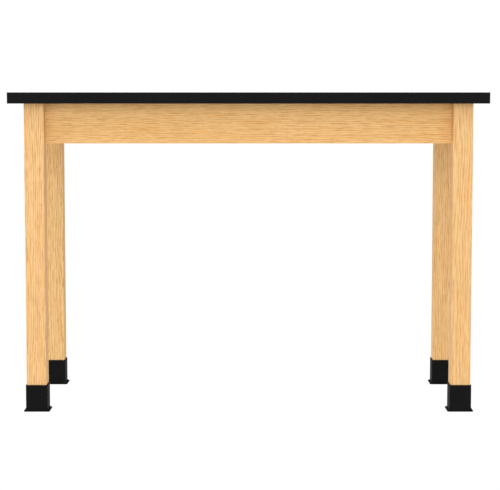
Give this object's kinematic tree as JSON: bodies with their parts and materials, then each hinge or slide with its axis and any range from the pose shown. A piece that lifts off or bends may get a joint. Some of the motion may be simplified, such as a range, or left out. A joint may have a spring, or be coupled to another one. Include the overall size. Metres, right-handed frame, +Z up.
{
  "type": "science lab table",
  "caption": "Free-standing science lab table: black laminate top, pale oak aprons and square legs, black slip-on leg shoes over screw levelers.",
  "frame": {"origin": "on the floor under the middle of the table", "axes": "+X to the right along the length, +Y from the front to the rear, +Z up"},
  "size_m": [1.3716, 0.6096, 0.924],
  "materials": {
    "black_laminate": "matte",
    "black_edge_band": "satin",
    "particle_board": "matte",
    "backer_sheet": "matte",
    "oak": "satin",
    "zinc_steel": "satin",
    "bright_steel": "satin",
    "black_vinyl": "satin",
    "foot_nylon": "satin"
  },
  "bodies": {
    "table": {"apron_front": "oak", "apron_left": "oak", "apron_rear": "oak", "apron_right": "oak", "corner_brace_front_left": "zinc_steel", "corner_brace_front_right": "zinc_steel", "corner_brace_rear_left": "zinc_steel", "corner_brace_rear_right": "zinc_steel", "corner_brace_screws": "bright_steel", "edge_band_front": "black_edge_band", "edge_band_left": "black_edge_band", "edge_band_rear": "black_edge_band", "edge_band_right": "black_edge_band", "hanger_bolt_nuts": "bright_steel", "hanger_bolt_washers": "bright_steel", "hanger_bolts": "bright_steel", "leg_front_left": "oak", "leg_front_right": "oak", "leg_rear_left": "oak", "leg_rear_right": "oak", "leveler_tee_nuts": "bright_steel", "top_backer": "backer_sheet", "top_clip_screws": "bright_steel", "top_clips": "zinc_steel", "top_core": "particle_board", "top_laminate": "black_laminate"},
    "shoe_front_left": {"leg_shoe_front_left": "black_vinyl"},
    "shoe_front_right": {"leg_shoe_front_right": "black_vinyl"},
    "shoe_rear_left": {"leg_shoe_rear_left": "black_vinyl"},
    "shoe_rear_right": {"leg_shoe_rear_right": "black_vinyl"},
    "foot_front_left": {"leveler_foot_front_left": "foot_nylon"},
    "foot_front_right": {"leveler_foot_front_right": "foot_nylon"},
    "foot_rear_left": {"leveler_foot_rear_left": "foot_nylon"},
    "foot_rear_right": {"leveler_foot_rear_right": "foot_nylon"},
    "stem_front_left": {"leveler_stem_front_left": "bright_steel"},
    "stem_front_right": {"leveler_stem_front_right": "bright_steel"},
    "stem_rear_left": {"leveler_stem_rear_left": "bright_steel"},
    "stem_rear_right": {"leveler_stem_rear_right": "bright_steel"}
  },
  "joints": [
    {"name": "leveler_extend_front_left", "type": "slide", "parent": "table", "child": "foot_front_left", "axis": [0, 0, -1], "range_m": [0, 0.01905]},
    {"name": "leveler_turn_front_left", "type": "hinge", "parent": "foot_front_left", "child": "stem_front_left", "pos_m": [-0.61595, -0.23178, 0.03], "axis": [0, 0, -1], "range_deg": [0, 4320]},
    {"name": "shoe_slide_front_left", "type": "slide", "parent": "table", "child": "shoe_front_left", "axis": [0, 0, 1], "range_m": [-0.01905, 0.699]},
    {"name": "leveler_extend_front_right", "type": "slide", "parent": "table", "child": "foot_front_right", "axis": [0, 0, -1], "range_m": [0, 0.01905]},
    {"name": "leveler_turn_front_right", "type": "hinge", "parent": "foot_front_right", "child": "stem_front_right", "pos_m": [0.61595, -0.23178, 0.03], "axis": [0, 0, -1], "range_deg": [0, 4320]},
    {"name": "shoe_slide_front_right", "type": "slide", "parent": "table", "child": "shoe_front_right", "axis": [0, 0, 1], "range_m": [-0.01905, 0.699]},
    {"name": "leveler_extend_rear_left", "type": "slide", "parent": "table", "child": "foot_rear_left", "axis": [0, 0, -1], "range_m": [0, 0.01905]},
    {"name": "leveler_turn_rear_left", "type": "hinge", "parent": "foot_rear_left", "child": "stem_rear_left", "pos_m": [-0.61595, 0.23178, 0.03], "axis": [0, 0, -1], "range_deg": [0, 4320]},
    {"name": "shoe_slide_rear_left", "type": "slide", "parent": "table", "child": "shoe_rear_left", "axis": [0, 0, 1], "range_m": [-0.01905, 0.699]},
    {"name": "leveler_extend_rear_right", "type": "slide", "parent": "table", "child": "foot_rear_right", "axis": [0, 0, -1], "range_m": [0, 0.01905]},
    {"name": "leveler_turn_rear_right", "type": "hinge", "parent": "foot_rear_right", "child": "stem_rear_right", "pos_m": [0.61595, 0.23178, 0.03], "axis": [0, 0, -1], "range_deg": [0, 4320]},
    {"name": "shoe_slide_rear_right", "type": "slide", "parent": "table", "child": "shoe_rear_right", "axis": [0, 0, 1], "range_m": [-0.01905, 0.699]}
  ],
  "couplings": [
    {"joint": "leveler_turn_front_left", "follows": "leveler_extend_front_left", "rad_per_m": 3957.9},
    {"joint": "leveler_turn_front_right", "follows": "leveler_extend_front_right", "rad_per_m": 3957.9},
    {"joint": "leveler_turn_rear_left", "follows": "leveler_extend_rear_left", "rad_per_m": 3957.9},
    {"joint": "leveler_turn_rear_right", "follows": "leveler_extend_rear_right", "rad_per_m": 3957.9}
  ]
}
